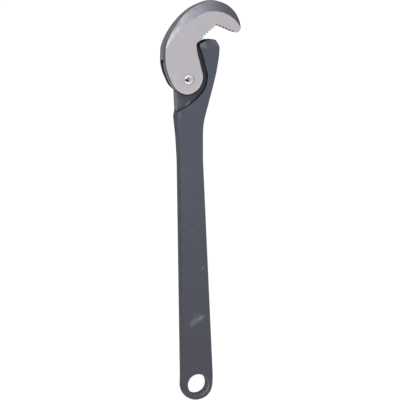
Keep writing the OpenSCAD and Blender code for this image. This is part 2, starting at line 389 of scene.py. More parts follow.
def mixed(tree, amount, a, b):
    """Color a, turned to color b by amount."""
    made = added(tree, "ShaderNodeMix", {"Factor": amount}, data_type="RGBA")
    for socket, color in (("A", a), ("B", b)):
        target = next(s for s in made.inputs if s.name == socket and s.type == "RGBA")
        if isinstance(color, bpy.types.NodeSocket):
            tree.links.new(color, target)
        else:
            target.default_value = (*color, 1)
    return next(s for s in made.outputs if s.type == "RGBA")


def bumped(tree, height, distance):
    return added(tree, "ShaderNodeBump", {"Height": height, "Distance": distance, "Strength": 1.0}).outputs[0]


def wear_and_highlight_share(tree):
    return added(tree, "ShaderNodeAttribute", attribute_name="wear_and_highlight").outputs["Fac"]


def slate_finish():
    """Satin slate coat: mottled, darker towards the grip's end, lighter at scratches and scuffs, and lighter
    along round edges for rubbing and a painted highlight.
    """
    slate = (0.070, 0.080, 0.110)
    slate_dark = (0.064, 0.073, 0.102)
    slate_toward_end = (0.050, 0.050, 0.072)
    rubbed = (0.20, 0.20, 0.22)
    hazed = (0.27, 0.30, 0.36)
    browned = (0.21, 0.19, 0.18)
    made, tree, shader = new_finish("slate_finish", slate, 0, 0.4)
    color = mixed(tree, ramped(tree, noise(tree, 22 * mm, 4, 0.6), 0.35, 0.65), slate, slate_dark)
    # Darker and greyer towards the end of the grip.
    color = mixed(tree, ramped(tree, place_along(tree, "Y"), 240 * mm, 0), color, slate_toward_end)
    specks = ramped(tree, noise(tree, 1.3 * mm, 1, 0.5), 0.72, 0.78, 0, 0.3)
    speck = patch(tree, (-1.7, 138.4), (0.55, 0.55), 0)
    broken = ramped(tree, noise(tree, 1.6 * mm, 4, 0.65), 0.45, 0.6)
    squiggle = times(tree, patch(tree, (7.3, 104.6), (1.3, 0.8), 60), broken)
    # A painted highlight in a streak along the handle's left edge, below the recess.
    edge_highlight = marks(tree, 0.7, ((-9.7, 241.6), (0.85, 3.2), 4, 0.42))
    # Round edges turn lighter, partly from rubbing and partly as a painted highlight.
    edge_wear_and_highlight = times(tree, wear_and_highlight_share(tree),
                      ramped(tree, noise(tree, 9 * mm, 4, 0.7), 0.3, 0.7, 0.2, 0.45))
    color = mixed(tree, most(tree, specks, speck, squiggle, edge_highlight, edge_wear_and_highlight), color, rubbed)
    scuffs = marks(tree, 0.7, ((3.5, 59.6), (3.4, 1.8), 38, 0.42), ((-1.6, 57.2), (4.9, 2.3), 36, 0.27),
                   ((1.2, 61.2), (4.2, 2.4), 10, 0.12), ((2.5, 58.9), (0.9, 0.7), 0, 0.54),
                   ((-4.7, 54.4), (1.5, 1.9), 0, 0.24))
    color = mixed(tree, scuffs, color, hazed)
    smear = marks(tree, 0.6, ((12.9, 302.8), (3.2, 2.6), 0, 0.25))
    color = mixed(tree, smear, color, hazed)
    rubs = marks(tree, 0.5, ((11.6, 303.4), (0.8, 1.7), -20, 1), ((12.7, 302.0), (0.6, 1.1), -20, 1),
                 ((14.3, 302.9), (0.6, 1.4), -20, 1), ((15.8, 300.6), (0.45, 1.0), -20, 1),
                 ((14.2, 304.9), (1.6, 0.5), -20, 1))
    drawn = ramped(tree, noise(tree, 0.9 * mm, 3, 0.6, (1, 2.5, 1)), 0.42, 0.58)
    color = mixed(tree, times(tree, rubs, operated(tree, "MAXIMUM", drawn, 0.35), 0.55), color, hazed)
    corner_rub = marks(tree, 0.6, ((24.6, 304.0), (6.4, 1.9), -32, 0.22))
    color = mixed(tree, corner_rub, color, browned)
    tree.links.new(color, shader.inputs["Base Color"])
    lumps = operated(tree, "MULTIPLY", noise(tree, 4 * mm), 1.5)
    skin = operated(tree, "ADD", noise(tree, 0.9 * mm, 3, 0.6), lumps)
    tree.links.new(ramped(tree, noise(tree, 1.6 * mm, 3), 0.3, 0.7, 0.36, 0.48), shader.inputs["Roughness"])
    tree.links.new(bumped(tree, skin, 0.03 * mm), shader.inputs["Normal"])
    return made


def wall_finish():
    """The forged walls: the same coat over a coarser skin, so it's rougher and a little dull, darkened as
    painted shade and lightened as painted light in the hanging hole.
    """
    # The coat here is darker than on the face, as painted shade.
    coat = (0.046, 0.048, 0.060)
    coat_dark = (0.032, 0.034, 0.044)
    lit_coat_in_hole = (0.10, 0.10, 0.125)
    lit_coat_low = (0.165, 0.165, 0.195)
    chamfer = (0.29, 0.29, 0.35)
    made, tree, shader = new_finish("forged_wall", coat, 0, 0.62, 1.32)
    color = mixed(tree, ramped(tree, noise(tree, 7 * mm, 4, 0.6), 0.35, 0.65), coat, coat_dark)
    # Inside the hanging hole the coat is lightened as painted light, most towards the bottom.
    hole_middle = Vector((0, 0, 0))
    lit_coat_round_hole = mixed(tree, ramped(tree, place_along(tree, "Y"), 3 * mm, -5 * mm),
                            lit_coat_in_hole, lit_coat_low)
    from_hole = distance_from(tree, hole_middle)
    color = mixed(tree, ramped(tree, from_hole, 11.5 * mm, 10.5 * mm), color, lit_coat_round_hole)
    # A painted highlight on the hole's chamfer at the lower right.
    lit_chamfer = times(tree, ring(tree, hole_middle, 9.95 * mm, 0.5 * mm),
                        marks(tree, 0.5, ((6.8, -7.2), (6.5, 3.2), 45, 0.62)))
    color = mixed(tree, lit_chamfer, color, chamfer)
    tree.links.new(color, shader.inputs["Base Color"])
    tree.links.new(bumped(tree, noise(tree, 1.2 * mm, 4, 0.6), 0.06 * mm), shader.inputs["Normal"])
    return made


def recess_finish():
    """The tang and its recess: the coat darkened as painted shade, with near-black painted shadow along the
    edge of the cheek and the step, and painted highlights on the tang's back edge and in the step's fillet.
    """
    recess_shaded_coat = (0.034, 0.034, 0.054)
    recess_less_shaded_coat = (0.058, 0.060, 0.090)
    lit = (0.15, 0.15, 0.18)
    painted_shade = (0.006, 0.006, 0.008)
    bright = (0.27, 0.27, 0.31)
    made, tree, shader = new_finish("shaded_recess", recess_shaded_coat, 0, 0.42)
    across = place_along(tree, "X")
    # The recess floor is darkened as painted shade, less so lower down.
    color = mixed(tree, ramped(tree, place_along(tree, "Y"), 260 * mm, 252 * mm), recess_shaded_coat, recess_less_shaded_coat)
    # A painted highlight along the tang's back edge.
    back_edge = times(tree, ramped(tree, across, pivot.x - 8.6 * mm, pivot.x - 10.2 * mm),
                      ramped(tree, place_along(tree, "Y"), 264 * mm, 260 * mm), 0.7)
    color = mixed(tree, back_edge, color, lit)
    # Painted shadow in near-black along the lobe's lower edge and down its right side.
    below_lobe = ring(tree, pivot + Vector((0.3 * mm, -1.3 * mm, 0)), 13.2 * mm, 1.1 * mm)
    beside_lobe = times(tree, ring(tree, pivot + Vector((-0.7 * mm, 0.9 * mm, 0)), 15.3 * mm, 1.1 * mm),
                        ramped(tree, across, pivot.x + 2 * mm, pivot.x + 6 * mm))
    color = mixed(tree, times(tree, most(tree, below_lobe, beside_lobe), 0.95), color, painted_shade)
    # Painted shadow in near-black at the foot of the step beside the hook.
    groove = marks(tree, 0.5, ((11.9, 290), (1.1, 15), 12.5, 0.85))
    color = mixed(tree, groove, color, painted_shade)
    # Painted highlights in the step's fillet.
    streaks = marks(tree, 0.5, ((-1.4, 250.9), (2.6, 0.5), 40, 1), ((-6.0, 247.6), (2.4, 0.4), 32, 0.35))
    color = mixed(tree, streaks, color, bright)
    tree.links.new(color, shader.inputs["Base Color"])
    tree.links.new(bumped(tree, noise(tree, 1.2 * mm, 4, 0.6), 0.03 * mm), shader.inputs["Normal"])
    return made


def scale_and_shade_finish(name, black, grey, roughness, share=0.6, ior=1.4):
    """Near-black with lighter spots: forged scale rubbed through on the hook's edges and notches and in the
    sleeve's slot, and painted shade on the handle's step, the nose's tooth notches and the hook's slot.
    """
    made, tree, shader = new_finish(name, black, 0, roughness, ior)
    spots = ramped(tree, noise(tree, 1.4 * mm, 3, 0.6), share - 0.06, share + 0.06)
    tree.links.new(mixed(tree, spots, black, grey), shader.inputs["Base Color"])
    tree.links.new(bumped(tree, noise(tree, 0.8 * mm, 3, 0.6), 0.03 * mm), shader.inputs["Normal"])
    return made


face_z = 7 * mm
tang_z = 3.4 * mm
FACE, WALL, RECESS, STEP, TOOTH = range(5)
forging = copied_from("handle")


def is_toothed(place):
    """Whether a place belongs to the notches on the nose's crown."""
    off = place - pivot
    return off.y > 27 * mm and 2 * mm < off.x < 26.6 * mm


def near_pivot(place, within=9 * mm):
    """Whether a place belongs to the tang's bore and the spring's groove."""
    return (place - pivot).xy.length < within


def in_hole(place):
    """Whether a place belongs to the hanging hole, whose middle is the frame's zero."""
    return place.xy.length < 11 * mm


# Both fits are in mm. The crown's goes by the turn about its middle, in degrees, and the side's by the
# height above the pivot. Worn notches are shallower, so their bottoms stand out by more.
crown_middle = pivot + Vector((24 * mm, 14.6 * mm, 0))
crown_r = 18
crown_fit = [(82, -0.25), (84.5, -0.4), (87.3, -0.1), (90, 0.15), (95.6, 0.28), (98.4, 0.5), (104, 0.85),
             (107, 0.8), (113, 1.1), (116, 1), (120, 1.25), (129, 1.35), (137, 1)]
nose_side_fit = [(-4, 0), (8, 0.08), (14, 0.12), (20, 0.32), (25, 0.3), (27, 0), (28.5, -0.35), (30, -0.55),
                 (33, -0.55)]
filled_notches = {89: 0.25, 99: 0.4, 110: 0.65, 121: 0.8}


def nose_fit(place):
    """How far the nose's worn outline stands out from the drawn one, in mm."""
    off = (place - pivot) / mm
    turn = turn_round(place, crown_middle)
    reach = (place - crown_middle).xy.length / mm
    if abs(reach - crown_r) < 0.5 and 82 < turn < 137:
        in_notch = reach < crown_r - 0.1
        return read_off(crown_fit, turn) + (filled_notches.get(round(turn), 0) if in_notch else 0)
    if off.x > 20 and off.y > -4:
        return read_off(nose_side_fit, off.y) if place.z > 0 or off.y < 28 else 0.4
    return 0


cut_across(forging, (-270, -265, -26, 8, 14, 20))
fitted(forging, nose_fit)
for vert in forging.verts:
    off = (vert.co - pivot) / mm
    on_tang = abs(off.z) < 5
    on_tang_top = on_tang and 7 < off.x < 11.1 and off.y > 30.5
    on_back_corner = off.x < -10.5 and -29 < off.y < -25.9
    if on_tang_top:
        vert.co.y += (0.15 if off.x < 9 else 1.2) * mm
    if on_back_corner:
        outermost, inner = (0.25, 0.15) if on_tang else (1.1, 0.8)
        vert.co.x += (outermost if off.x < -11 else inner) * mm
    if in_hole(vert.co):
        vert.co += Vector((-0.1 * mm, -0.35 * mm, 0))

# Faces take finishes by place: the recess, the step and the tooth notches get finishes darkened as painted
# shade.
for face in forging.faces:
    middle = face.calc_center_median()
    low, high = reach_of(face)
    one_side = abs(middle.z) > tang_z
    if abs(face.normal.z) > 0.9:
        face.material_index = FACE if low > tang_z + mm else RECESS
    elif is_toothed(middle) and high > tang_z + mm:
        face.material_index = TOOTH
    elif one_side and not in_hole(middle):
        face.material_index = STEP
    else:
        face.material_index = WALL if high > tang_z + mm else RECESS

outer_walls = [f for f in forging.faces if f.material_index == WALL and abs(f.normal.z) < 0.1
               and not in_hole(f.calc_center_median())]


def wall_bulge(place):
    """How far the wall stands out: most at the parting line, and more on the left of the round end."""
    end_r = 13.6 * mm
    across = place.x / end_r
    low_down = min(1, max(0, 0.5 - place.y / (16 * mm)))
    parting = 0.7 + (0.9 * low_down if across < 0 else 0)
    on_end = min(1, max(0, 0.75 - place.y / (9 * mm)))
    fuller = -0.85 * max(0, across) + 0.35 * max(0, -across) - 0.2 * (1 - min(1, abs(across)))
    return (parting * (1 - (place.z / face_z) ** 2) + on_end * fuller) * mm


drawn_out(forging, outer_walls, [h * mm for h in (-4.8, -2.4, 0, 2.4, 4.8)], wall_bulge)


def is_step(place):
    """Whether a place belongs to the step down from the nose to the tang."""
    off = (place - pivot).xy
    return off.length < 20 * mm or (off.y > 0 and off.x < 18 * mm)


die_edges = [e for e in corner_edges(forging, 35) if is_level(e, face_z)
             and not is_toothed(middle_of(e)) and not in_hole(middle_of(e))]
wear_and_highlight = forging.faces.layers.float.new("wear_and_highlight")
step_edges = [e for e in die_edges if is_step(middle_of(e))]
highlit_step_edges = [e for e in step_edges if middle_of(e).y < pivot.y + 2 * mm]
kept_edges = [e for e in step_edges if e not in highlit_step_edges]
# The lower step's top edges get a strong painted highlight; the upper ones get a little rubbing.
for edges, edge_lightening in ((highlit_step_edges, 1.7), (kept_edges, 0.2)):
    for face in rounded(forging, [e for e in edges if e.is_valid], 0.9 * mm, 3):
        face.material_index = FACE
        face[wear_and_highlight] = edge_lightening
die_edges = [e for e in die_edges if e.is_valid and not is_step(middle_of(e))]
for face in rounded(forging, die_edges, 1.4 * mm, 4):
    face.material_index = FACE
    # Round edges that face right get a painted highlight.
    if face.normal.x > 0.2:
        face[wear_and_highlight] = 1.6
crown_edges = [e for e in corner_edges(forging, 35) if is_level(e, face_z) and is_toothed(middle_of(e))]
rounded(forging, crown_edges, 0.15 * mm, 1)
tang_edges = [e for e in corner_edges(forging, 35) if is_level(e, tang_z)
              and not near_pivot(middle_of(e)) and not is_toothed(middle_of(e))]
back_edges = [e for e in tang_edges if max((middle_of(e) - pivot).xy) < -9 * mm]
rounded(forging, [e for e in tang_edges if e not in back_edges], 0.4 * mm, 2)
# The tang's back edge gets a painted highlight.
for face in rounded(forging, [e for e in back_edges if e.is_valid], 1.3 * mm, 4):
    face.material_index = FACE
    face[wear_and_highlight] = 1.6
# The step's foot becomes a wide fillet in the step's near-black finish, which is painted shade.
step_foot = [e for e in corner_edges(forging, 60, convex=False) if is_level(e, tang_z)
             and not near_pivot(middle_of(e)) and is_step(middle_of(e))
             and (middle_of(e) - pivot).x > 6 * mm]
for face in rounded(forging, step_foot, 1.9 * mm, 5, convex=False):
    face.material_index = STEP
# The step's near-black and the tooth notches' black are painted shade; the notches' lighter spots are
# rubbing.
handle_finishes = [slate_finish(), wall_finish(), recess_finish(),
                   scale_and_shade_finish("step_shade", (0.012, 0.011, 0.016), (0.03, 0.03, 0.035), 0.6, 0.7, 1.22),
                   scale_and_shade_finish("tooth_shade", (0.020, 0.020, 0.024), (0.30, 0.29, 0.29), 0.5, 0.62)]
handle_piece = finished_piece("handle_forging", forging, "handle", handle_finishes, 32, "handle")


# ---- The hook jaw.
# A forged hook with two cheeks, ground bright on both faces and on the crescent bevels round its rim.
# The rim and the notched flanks keep their dark forged skin. The slot between the cheeks is near-black as
# painted shade, the bevels carry painted highlight and shade, and the lobe a painted highlight along its
# edge.

hook_middle = pivot + Vector((23.3 * mm, 31 * mm, 0))


def ground_finish():
    """Bright faces off the grinder, with faint blotches, rubbed rings round the pivot screw and a painted
    highlight along the lobe's lower edge.
    """
    steel = (0.535, 0.505, 0.530)
    steel_cool = (0.51, 0.50, 0.53)
    steel_dull = (0.49, 0.47, 0.49)
    rubbed = (0.63, 0.59, 0.59)
    dull = (0.41, 0.38, 0.39)
    bright = (0.68, 0.65, 0.67)
    made, tree, shader = new_finish("ground_steel", steel, 1, 0.36)
    color = mixed(tree, ramped(tree, noise(tree, 14 * mm, 3, 0.6), 0.35, 0.65), steel, steel_cool)
    color = mixed(tree, ramped(tree, noise(tree, 3 * mm, 4, 0.65), 0.5, 0.75, 0, 0.8), color, steel_dull)
    below = patch(tree, (pivot.x / mm + 3.5, pivot.y / mm - 5.5), (7, 6), 0, 0.6)
    rings = most(tree, ring(tree, pivot, 6.4 * mm, 0.5 * mm), ring(tree, pivot, 8.4 * mm, 0.45 * mm))
    color = mixed(tree, times(tree, rings, below, 0.55), color, rubbed)
    dark_rings = most(tree, ring(tree, pivot, 5.6 * mm, 0.45 * mm), ring(tree, pivot, 7.4 * mm, 0.4 * mm))
    color = mixed(tree, times(tree, dark_rings, below, 0.55), color, dull)
    # A painted highlight in a thin line along the lower half of the lobe's edge.
    lobe_middle = pivot + Vector((-0.9 * mm, 0.2 * mm, 0))
    lobe_edge_highlight = times(tree, ring(tree, lobe_middle, 12.1 * mm, 0.5 * mm),
                      ramped(tree, place_along(tree, "Y"), 283 * mm, 273 * mm))
    color = mixed(tree, times(tree, lobe_edge_highlight, 0.6), color, bright)
    tree.links.new(color, shader.inputs["Base Color"])
    grain = noise(tree, 0.5 * mm, 4, 0.7, (12, 1, 1))
    tree.links.new(ramped(tree, grain, 0.25, 0.75, 0.32, 0.42), shader.inputs["Roughness"])
    tree.links.new(bumped(tree, grain, 0.003 * mm), shader.inputs["Normal"])
    return made


def bevel_finish():
    """The crescent bevels, with the streaks that a belt left along them, lighter on the left as a painted
    highlight and darker on the right as painted shade.
    """
    steel = (0.67, 0.65, 0.70)
    steel_blue = (0.46, 0.47, 0.53)
    steel_rim = (0.24, 0.24, 0.27)
    shaded_steel_end = (0.49, 0.495, 0.59)
    made, tree, shader = new_finish("ground_bevel", steel, 1, 0.3)
    centred = moved(tree, "SUBTRACT", place_of(tree), tuple(hook_middle))
    parts = added(tree, "ShaderNodeSeparateXYZ", {0: centred})
    turn = operated(tree, "ARCTAN2", parts.outputs["Y"], parts.outputs["X"])
    along = operated(tree, "MULTIPLY", turn, 35 * mm)
    slanted = operated(tree, "ADD", distance_from(tree, hook_middle), operated(tree, "MULTIPLY", along, 0.3))
    polar = added(tree, "ShaderNodeCombineXYZ", {"X": along, "Y": slanted}).outputs[0]
    streaks = noise(tree, 0.75 * mm, 4, 0.62, (7, 1, 1), polar)
    # Lighter on the left as a painted highlight, darker and bluer on the right as painted shade.
    lit_left_side = ramped(tree, parts.outputs["X"], -34 * mm, -14 * mm)
    even = mixed(tree, lit_left_side, steel, shaded_steel_end)
    streaked = mixed(tree, lit_left_side, steel_blue, tuple(0.82 * c for c in shaded_steel_end))
    color = mixed(tree, ramped(tree, streaks, 0.42, 0.6), even, streaked)
    outer_left = times(tree, ramped(tree, place_along(tree, "Z"), 8.5 * mm, 6.3 * mm),
                       ramped(tree, parts.outputs["X"], -26 * mm, -34 * mm))
    color = mixed(tree, times(tree, outer_left, 0.95), color, steel_rim)
    tree.links.new(color, shader.inputs["Base Color"])
    tree.links.new(ramped(tree, streaks, 0.25, 0.75, 0.24, 0.4), shader.inputs["Roughness"])
    tree.links.new(bumped(tree, streaks, 0.02 * mm), shader.inputs["Normal"])
    return made


def rim_finish():
    """The rim's forged skin, lighter behind the dark line along the ground face and lighter still lower down.
    """
    skin = (0.040, 0.038, 0.054)
    skin_dark = (0.030, 0.029, 0.042)
    rubbed = (0.118, 0.114, 0.142)
    paler_low = (0.25, 0.245, 0.28)
    made, tree, shader = new_finish("forged_rim", skin, 0.3, 0.5)
    color = mixed(tree, ramped(tree, noise(tree, 6 * mm, 4, 0.6), 0.3, 0.7), skin, skin_dark)
    from_middle = operated(tree, "ABSOLUTE", place_along(tree, "Z"))
    parting = times(tree, ramped(tree, from_middle, 7.8 * mm, 5.2 * mm),
                    ramped(tree, noise(tree, 5 * mm, 3), 0.3, 0.6, 0.7, 1))
    lighter = mixed(tree, ramped(tree, place_along(tree, "Y"), 296 * mm, 266 * mm), rubbed, paler_low)
    color = mixed(tree, parting, color, lighter)
    tree.links.new(color, shader.inputs["Base Color"])
    tree.links.new(bumped(tree, noise(tree, 1.1 * mm, 4, 0.6), 0.03 * mm), shader.inputs["Normal"])
    return made


cheek_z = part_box("hook_jaw")[1].z
slot_z = 3.8 * mm
GROUND, BEVEL, RIM, SLOT, NOTCH, EDGE = range(6)
hook = copied_from("hook_jaw")
# Both fits are in mm, by a turn in degrees: the lobe's about the pivot, the rim's about the hook's middle.
lobe_fit = [(-180, 0.1), (-172, 0.35), (-152, 0.6), (-140, 0.6), (-128, 0.55), (-120, 0.4), (-104, 0.3),
            (-96, 0.1), (-88, -0.15), (-80, -0.32), (-72, -0.64), (-64, -0.95), (-24, -1.05), (-8, -0.75),
            (0, -0.5), (8, -0.24), (16, 0.08), (24, 0.24), (32, 0.36), (46, 0.15), (56, 0.12), (66, -0.3),
            (71, -0.45), (75, -0.2), (76, 0)]
rim_fit = [(-180, 0.4), (-175, 0.4), (-170, 0.1), (-165, 0), (78, 0), (83, 0.2), (88, 0.25), (96, 0.1),
           (103, 0.05), (109, 0.2), (120, 0.45), (126, 0.4), (139, 0.2), (150, 0), (172, 0), (178, 0.3),
           (180, 0.4)]


def cheek_fit(place):
    """How far the outline of the lobe and the crown stands out from the drawn one, in mm."""
    off = (place - pivot) / mm
    if (place - hook_middle).xy.length > 33 * mm and off.y > 18:
        return read_off(rim_fit, turn_round(place, hook_middle))
    turn = turn_round(place, pivot)
    if off.y < 30.4 and off.x < 14 and off.xy.length > 12.5 and (turn < 20 or off.x > 7):
        return read_off(lobe_fit, turn)
    return 0


cut_across(hook, (15, 24, 27))
fitted(hook, cheek_fit)
for vert in hook.verts:
    off = (vert.co - pivot).xy.to_3d()
    if vert.co.z > 6 * mm and 4.2 * mm < off.length < 5 * mm:
        vert.co += 0.08 * off + Vector((0.3 * mm, -0.1 * mm, 0))


def in_mouth(place):
    """Whether a place lies on the notched flanks of the mouth."""
    off = (place - pivot) / mm
    below_crown = off.y < 62 - 0.35 * abs(off.x - 27)
    return off.x > 8 and off.y > 22 and below_crown and (off.xy - Vector((30, 38))).length < 21


# Faces inside the slot take its near-black finish, which is painted shade.
for face in hook.faces:
    middle = face.calc_center_median()
    low, high = reach_of(face)
    if abs(face.normal.z) > 0.995:
        face.material_index = GROUND if low > slot_z + mm else SLOT
    elif abs(face.normal.z) > 0.5:
        face.material_index = BEVEL
    elif high < slot_z + 0.05 * mm:
        face.material_index = SLOT
    elif in_mouth(middle) and face.normal.y < 0.9 and low < mm:
        face.material_index = NOTCH
    else:
        face.material_index = RIM


def rim_bulge(place):
    """How far the forged rim stands out behind the front face: none on the lobe, and none on the crown."""
    off = (place - pivot) / mm
    above_lobe = min(1, max(0, (off.y + 12) / 8))
    below_crown = min(1, max(0, (52 - off.y) / 25))
    behind = min(1, (cheek_z - place.z) / (5 * mm))
    at_face = cheek_z - abs(place.z) < 0.1 * mm
    if at_face:
        behind *= min(1, max(0, (24 - off.y) / 10))
    domed = 1 - (place.z / cheek_z) ** 2
    return (0.65 * behind + 0.5 * domed) * above_lobe * below_crown * mm if off.x < 0 else 0


rim_walls = [f for f in hook.faces if f.material_index == RIM and abs(f.normal.z) < 0.1
             and f.normal.x < 0.2 and (f.calc_center_median() - pivot).x < 6 * mm
             and reach_of(f)[1] > slot_z + mm and not near_pivot(f.calc_center_median(), 9 * mm)]
drawn_out(hook, rim_walls, [h * mm for h in (-6.4, 0, 6.4)], rim_bulge)
face_edges = [e for e in corner_edges(hook, 50) if not near_pivot(middle_of(e), 8 * mm)
              and all(abs(v.co.z) > slot_z + mm for v in e.verts)
              and NOTCH not in [f.material_index for f in e.link_faces]]
inner_edges = [e for e in face_edges
               if (middle_of(e) - pivot).x > 4 * mm and (middle_of(e) - pivot).y > 0]
outer_edges = [e for e in face_edges if e not in inner_edges]
for face in rounded(hook, inner_edges, 0.35 * mm, 2):
    face.material_index = EDGE
for face in rounded(hook, [e for e in outer_edges if e.is_valid], 0.45 * mm, 3):
    face.material_index = EDGE
hook_finishes = [ground_finish(), bevel_finish(), rim_finish(),
                 scale_and_shade_finish("slot_shade", (0.010, 0.010, 0.012), (0.03, 0.03, 0.035), 0.7, 0.7),
                 scale_and_shade_finish("notch_scale", (0.055, 0.052, 0.057), (0.16, 0.15, 0.16), 0.55, 0.62),
                 scale_and_shade_finish("edge_scale", (0.026, 0.025, 0.034), (0.05, 0.05, 0.06), 0.55, 0.6, 1.25)]
hook_piece = finished_piece("hook_jaw_forging", hook, "hook", hook_finishes, 14, "hook_jaw")


# ---- The pivot screw.
# A zinc-plated pan-head screw with a pressed cross recess. It turns down into the sleeve until its head
# clamps the sleeve's proud end and sits in the jaw's front face.

def recess_shade_spots(tree):
    """Painted shade round the left arm of the cross recess."""
    spots = [((pivot.x / mm + x, pivot.y / mm + y), half_size, turn, 1) for x, y, half_size, turn in
             ((-1.2, -0.8, (1.15, 1.6), -12), (-2.5, -0.4, (1.1, 1.0), 0), (-0.7, 0.9, (0.5, 0.9), -30))]
    return marks(tree, 0.3, *spots)


def zinc_finish():
    """Bright zinc plate: faintly warm and cloudy, with painted shade by the recess, and turning marks round
    the axis.
    """
    plate = (0.86, 0.83, 0.83)
    plate_cloudy = (0.64, 0.60, 0.61)
    painted_shade = (0.035, 0.022, 0.020)
    made, tree, shader = new_finish("bright_zinc", plate, 0.75, 0.2)
    cloudy = ramped(tree, noise(tree, 2.2 * mm, 4, 0.6), 0.4, 0.65)
    tree.links.new(mixed(tree, recess_shade_spots(tree), mixed(tree, cloudy, plate, plate_cloudy), painted_shade),
                   shader.inputs["Base Color"])
    across_marks = operated(tree, "DIVIDE", distance_from(tree, pivot), 0.25 * mm)
    turning_marks = added(tree, "ShaderNodeTexNoise", {"W": across_marks},
                          noise_dimensions="1D").outputs["Fac"]
    tree.links.new(ramped(tree, cloudy, 0, 1, 0.16, 0.3), shader.inputs["Roughness"])
    tree.links.new(bumped(tree, turning_marks, 0.004 * mm), shader.inputs["Normal"])
    return made


def cross_recess_shade_finish():
    """Inside the cross recess: zinc, with painted shade against its left side."""
    plate = (0.75, 0.70, 0.70)
    painted_shade = (0.035, 0.022, 0.020)
    made, tree, shader = new_finish("shaded_cross_recess", plate, 0.35, 0.35)
    tree.links.new(mixed(tree, recess_shade_spots(tree), plate, painted_shade), shader.inputs["Base Color"])
    tree.links.new(bumped(tree, noise(tree, 0.5 * mm, 3, 0.6), 0.02 * mm), shader.inputs["Normal"])
    return made


def turned_piece(profile, steps=64):
    """A solid of revolution about the pivot's axis; profile is (radius, height) in mm from end to end."""
    shape = bmesh.new()
    points = [shape.verts.new((pivot.x + r * mm, pivot.y, z * mm)) for r, z in profile]
    lines = [shape.edges.new(pair) for pair in zip(points, points[1:])]
    bmesh.ops.spin(shape, geom=points + lines, cent=pivot, axis=(0, 0, 1), angle=2 * math.pi, steps=steps,
                   use_merge=True, use_duplicate=False)
    bmesh.ops.remove_doubles(shape, verts=shape.verts, dist=0.001 * mm)
    bmesh.ops.recalc_face_normals(shape, faces=shape.faces)
    return shape


def arc_of(middle_r, middle_z, radius, start, end, steps):
    """Points of a profile on an arc, from one angle to another in degrees."""
    turns = [math.radians(start + (end - start) * i / steps) for i in range(steps + 1)]
    return [(middle_r + radius * math.cos(t), middle_z + radius * math.sin(t)) for t in turns]


def cross_punch(reach, width, top, bottom, floor_share, turn):
    """The tapered punch that presses a cross recess; its floor is floor_share of its mouth's size."""
    shape = bmesh.new()
    half = width / 2
    corners = [(half, half), (half, reach), (-half, reach), (-half, half), (-reach, half), (-reach, -half),
               (-half, -half), (-half, -reach), (half, -reach), (half, -half), (reach, -half), (reach, half)]
    loops = []
    spun = Matrix.Rotation(math.radians(turn), 3, "Z")
    for height, share in ((top, 1), (bottom, floor_share)):
        loops.append([shape.verts.new(pivot + spun @ Vector((x * share * mm, y * share * mm, height * mm)))
                      for x, y in corners])
    count = len(corners)
    for i in range(count):
        shape.faces.new([loops[0][i], loops[0][(i + 1) % count], loops[1][(i + 1) % count], loops[1][i]])
    shape.faces.new(loops[0])
    shape.faces.new(loops[1])
    bmesh.ops.recalc_face_normals(shape, faces=shape.faces)
    return shape


def cut_away(shape, punch, material_of_cut):
    """The shape less the punch, with the cut's faces in their own material."""
    pieces = []
    for part, number in ((shape, 0), (punch, material_of_cut)):
        for face in part.faces:
            face.material_index = number
        mesh = bpy.data.meshes.new("blank")
        part.to_mesh(mesh)
        part.free()
        pieces.append(bpy.data.objects.new("blank", mesh))
        scene.collection.objects.link(pieces[-1])
    blank, tool = pieces
    cut = blank.modifiers.new("cut", "BOOLEAN")
    cut.object = tool
    cut.operation = "DIFFERENCE"
    cut.solver = "EXACT"
    result = bpy.data.meshes.new_from_object(blank.evaluated_get(bpy.context.evaluated_depsgraph_get()))
    made = bmesh.new()
    made.from_mesh(result)
    for piece in pieces:
        bpy.data.meshes.remove(piece.data)
    bpy.data.meshes.remove(result)
    return made


# All in mm: the shank with its end chamfer, the head's seat and wall, and the low dome over it.
shank_r, head_r, dome_r = 2.0, 4.55, 16.8
head_height, wall_height, wall_fillet = 2.6, 1.75, 0.25
screw_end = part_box("pivot_screw")[0].z / mm
head_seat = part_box("pivot_screw")[1].z / mm - head_height
screw = turned_piece([(0, screw_end), (shank_r - 0.4, screw_end), (shank_r, screw_end + 0.4),
                      (shank_r, head_seat), (head_r - 0.2, head_seat), (head_r, head_seat + 0.2)]
                     + arc_of(head_r - wall_fillet, head_seat + wall_height, wall_fillet, 0, 70, 3)
                     + arc_of(0, head_seat + head_height - dome_r, dome_r, 74.6, 90, 8))
off_centre = Vector((0.5 * mm, -0.1 * mm, 0))
for vert in screw.verts:
    over_seat = vert.co.z / mm - head_seat
    on_seat = over_seat > -0.01 and (vert.co - pivot).xy.length > (shank_r + 0.1) * mm
    if on_seat or over_seat > 1:
        vert.co += off_centre
screw = cut_away(screw, cross_punch(2.5, 1.3, head_seat + 3, head_seat + 0.4, 0.4, 12), 1)
screw_piece = finished_piece("cross_head_screw", screw, "hook", [zinc_finish(), cross_recess_shade_finish()],
                             30, "pivot_screw")


# ---- The sleeve.
# A flanged sleeve turned from bar, pushed in from the back so that the jaw swings on it. Its blued flange has
# a driver's slot, which holds it while the screw is turned.

def blued_finish():
    """Blued steel with straw-brown clouds and turning marks."""
    blue = (0.075, 0.080, 0.105)
    brown = (0.105, 0.085, 0.075)
    made, tree, shader = new_finish("blued_steel", blue, 1, 0.32)
    tree.links.new(mixed(tree, ramped(tree, noise(tree, 4 * mm, 4, 0.6), 0.45, 0.7), blue, brown),
                   shader.inputs["Base Color"])
    tree.links.new(ramped(tree, noise(tree, 1.5 * mm, 3), 0.3, 0.7, 0.26, 0.42), shader.inputs["Roughness"])
    return made


